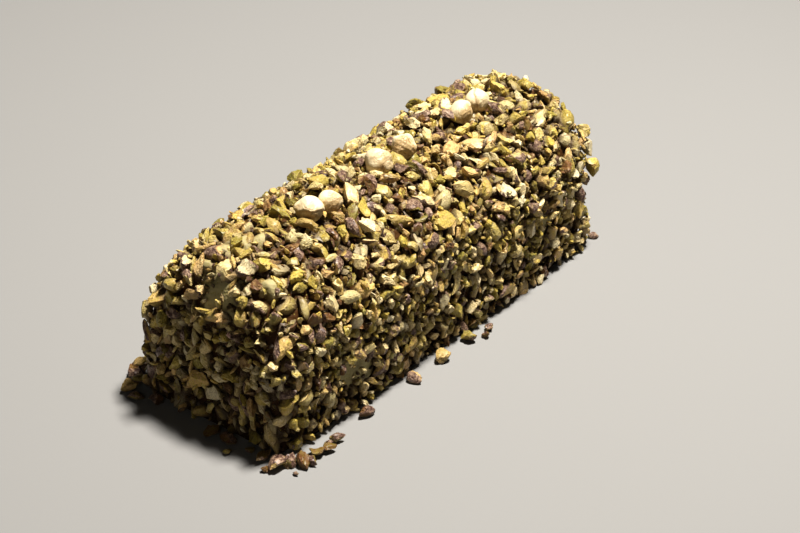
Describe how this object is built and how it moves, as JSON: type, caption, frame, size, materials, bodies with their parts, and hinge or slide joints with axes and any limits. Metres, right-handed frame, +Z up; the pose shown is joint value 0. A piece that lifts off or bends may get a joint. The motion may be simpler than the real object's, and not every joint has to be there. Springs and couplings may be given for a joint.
{
  "type": "nut-coated ice cream log cake",
  "caption": "Uncut ice cream log with a rounded crown, coated all over in coarsely chopped pistachios, with paired blanched hazelnuts along the top; it rests on its flat base.",
  "frame": {"origin": "middle of the flat base that the log rests on", "axes": "+X along the log, from the end nearer the viewer to the far end; +Y across it; +Z up"},
  "size_m": [0.2797, 0.1047, 0.1085],
  "materials": {
    "chopped_pistachio_coat": "matte",
    "blanched_hazelnut": "matte",
    "ice_cream": "satin"
  },
  "bodies": {
    "root": {"nut_coated_log": "chopped_pistachio_coat", "hazelnut_1": "blanched_hazelnut", "hazelnut_2": "blanched_hazelnut", "hazelnut_3": "blanched_hazelnut", "hazelnut_4": "blanched_hazelnut", "hazelnut_5": "blanched_hazelnut", "hazelnut_6": "blanched_hazelnut"}
  },
  "joints": []
}
